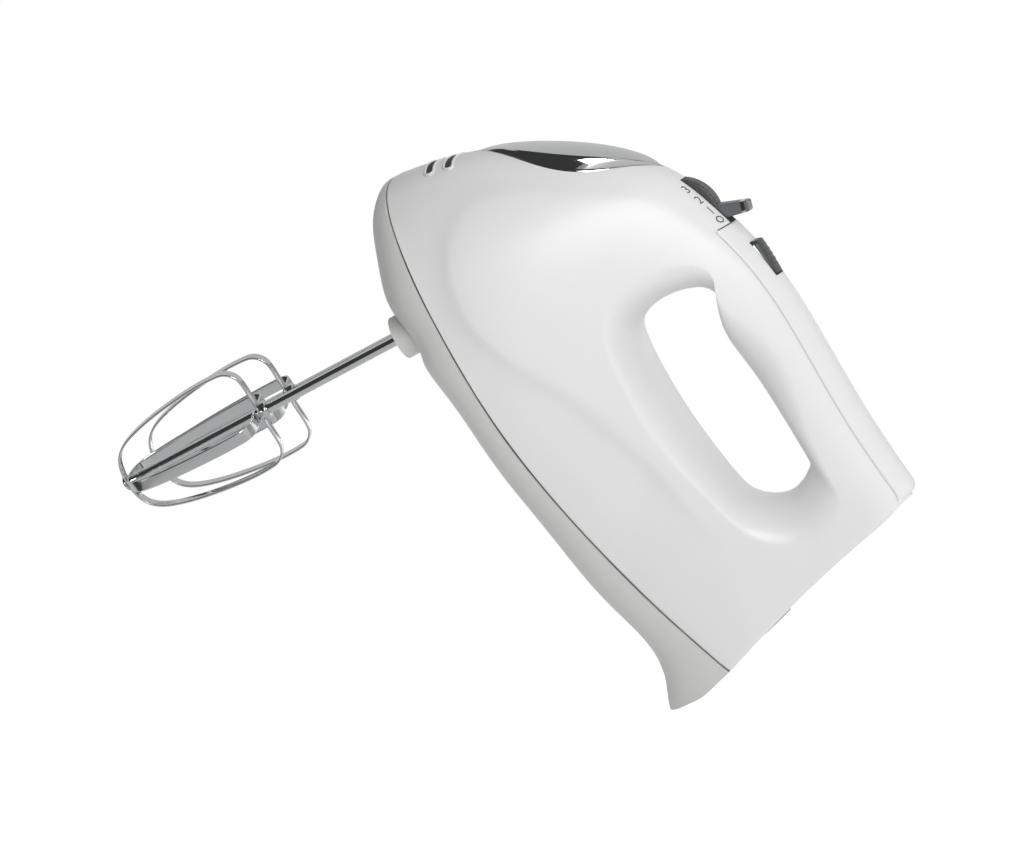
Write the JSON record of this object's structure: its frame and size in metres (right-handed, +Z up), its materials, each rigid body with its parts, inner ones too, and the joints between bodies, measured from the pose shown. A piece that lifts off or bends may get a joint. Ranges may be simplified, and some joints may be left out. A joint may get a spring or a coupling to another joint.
{
  "type": "hand mixer",
  "caption": "Hand mixer with a loop-handled housing, sprung release and boost buttons, a lever speed dial and strip-loop beaters turned by a worm drive; stands on its heel.",
  "frame": {"origin": "middle of the heel pad, on the surface that the mixer stands on", "axes": "+Z up with the mixer standing on its tail, +Y across to its right side, -X the way the beaters point"},
  "size_m": [0.2528, 0.0852, 0.2273],
  "materials": {
    "housing_white": "pearl gloss",
    "cover_pale": "satin",
    "chrome_trim": "mirror",
    "beater_steel": "polished",
    "control_grey": "fine satin",
    "inner_plastic": "moulded",
    "gear_nylon": "moulded",
    "zinc_steel": "zinc plated",
    "bright_steel": "ground",
    "die_cast": "as cast",
    "sintered_bronze": "oiled",
    "copper": "enamelled wire",
    "laminations": "varnished",
    "carbon": "carbon",
    "gland_rubber": "moulded"
  },
  "bodies": {
    "casing": {"upper_housing": "housing_white", "handle_cover": "housing_white", "lower_cover": "cover_pale", "housing_screws": "zinc_steel", "cord_gland": "gland_rubber", "cord_clamp": "inner_plastic", "dial_axle": "bright_steel", "speed_switch": "inner_plastic", "boost_switch": "inner_plastic", "gear_frame": "die_cast", "shaft_bearings": "sintered_bronze", "spindle_bushes": "sintered_bronze", "motor_stack": "laminations", "field_coils": "copper", "carbon_brushes": "carbon", "brush_holders": "inner_plastic", "rear_bracket": "die_cast", "motor_bolts": "zinc_steel"},
    "rotor": {"motor_shaft": "bright_steel", "worm": "bright_steel", "cooling_fan": "inner_plastic", "armature_core": "laminations", "armature_windings": "copper", "commutator": "copper"},
    "left_drive": {"left_worm_wheel": "gear_nylon", "left_spindle": "bright_steel", "left_retaining_ring": "zinc_steel"},
    "left_beater": {"left_beater_rod": "beater_steel", "left_outer_loop": "beater_steel", "left_inner_loop": "beater_steel", "left_beater_collar": "beater_steel", "left_beater_rivet": "beater_steel"},
    "right_drive": {"right_worm_wheel": "gear_nylon", "right_spindle": "bright_steel", "right_retaining_ring": "zinc_steel"},
    "right_beater": {"right_beater_rod": "beater_steel", "right_outer_loop": "beater_steel", "right_inner_loop": "beater_steel", "right_beater_collar": "beater_steel", "right_beater_rivet": "beater_steel"},
    "speed_control": {"speed_dial": "control_grey", "speed_lever": "chrome_trim"},
    "release_cap": {"release_button": "chrome_trim", "release_stem": "inner_plastic"},
    "release_bar": {"release_plate": "inner_plastic", "release_spring": "bright_steel"},
    "boost_cap": {"boost_button": "control_grey"}
  },
  "joints": [
    {"name": "motor_spin", "type": "hinge", "parent": "casing", "child": "rotor", "pos_m": [0.04646, 0, 0.16671], "axis": [-0.2823, 0, -0.9593], "continuous": true},
    {"name": "left_drive_spin", "type": "hinge", "parent": "casing", "child": "left_drive", "pos_m": [0.00233, -0.021, 0.17969], "axis": [0.9593, 0, -0.2823], "continuous": true},
    {"name": "left_beater_release", "type": "slide", "parent": "left_drive", "child": "left_beater", "axis": [-0.9593, 0, 0.2823], "range_m": [0, 0.046]},
    {"name": "right_drive_spin", "type": "hinge", "parent": "casing", "child": "right_drive", "pos_m": [0.00233, 0.021, 0.17969], "axis": [0.9593, 0, -0.2823], "continuous": true},
    {"name": "right_beater_release", "type": "slide", "parent": "right_drive", "child": "right_beater", "axis": [-0.9593, 0, 0.2823], "range_m": [0, 0.046]},
    {"name": "speed_select", "type": "hinge", "parent": "casing", "child": "speed_control", "pos_m": [0.11022, 0, 0.13648], "axis": [0, -1, 0], "range_deg": [0, 50]},
    {"name": "release_press", "type": "slide", "parent": "casing", "child": "release_cap", "axis": [-0.7546, 0, -0.6562], "range_m": [0, 0.003], "stiffness_N_per_m": 900, "springref_m": -0.002},
    {"name": "release_bar_slide", "type": "slide", "parent": "casing", "child": "release_bar", "axis": [-0.9593, 0, 0.2823], "range_m": [0, 0.003]},
    {"name": "boost_press", "type": "slide", "parent": "casing", "child": "boost_cap", "axis": [-0.9593, 0, 0.2823], "range_m": [0, 0.0025], "stiffness_N_per_m": 500, "springref_m": -0.001}
  ],
  "couplings": [
    {"joint": "left_drive_spin", "follows": "motor_spin", "ratio": 0.035714},
    {"joint": "right_drive_spin", "follows": "motor_spin", "ratio": -0.035714},
    {"joint": "release_bar_slide", "follows": "release_press", "ratio": 1}
  ]
}
